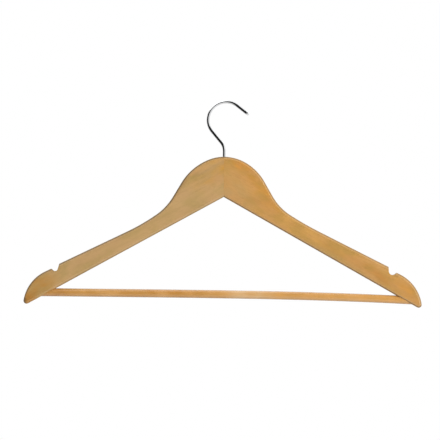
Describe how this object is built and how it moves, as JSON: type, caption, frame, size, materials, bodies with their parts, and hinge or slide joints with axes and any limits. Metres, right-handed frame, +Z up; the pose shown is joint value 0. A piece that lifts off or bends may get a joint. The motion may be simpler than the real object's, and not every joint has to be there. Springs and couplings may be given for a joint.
{
  "type": "clothes hanger",
  "caption": "Flat wooden clothes hanger: comb-jointed arms with strap notches, a round trouser bar, and a wire hook that swivels.",
  "frame": {"origin": "where the inside of the hook's crown bears on a rail, on the axis that the hook turns about", "axes": "+Z up along the hook's shank, +X along the hanger towards the arm on the hook's open side, -Y out of the front face"},
  "size_m": [0.4454, 0.012, 0.2297],
  "materials": {
    "left_wood": "satin clear lacquer over a pale tan hardwood",
    "right_wood": "satin clear lacquer over a warmer honey hardwood",
    "bar_wood": "satin clear lacquer over a turned hardwood dowel",
    "hook_chrome": "bright chrome plate on drawn steel wire",
    "zinc_steel": "zinc plated steel"
  },
  "bodies": {
    "hook": {"hook": "hook_chrome"},
    "wooden_body": {"left_arm": "left_wood", "right_arm": "right_wood", "trouser_bar": "bar_wood", "hook_washer": "zinc_steel", "bar_pin_left": "zinc_steel", "bar_pin_right": "zinc_steel"}
  },
  "joints": [
    {"name": "hook_swivel", "type": "hinge", "parent": "hook", "child": "wooden_body", "pos_m": [0, 0, -0.08], "axis": [0, 0, 1], "continuous": true}
  ]
}
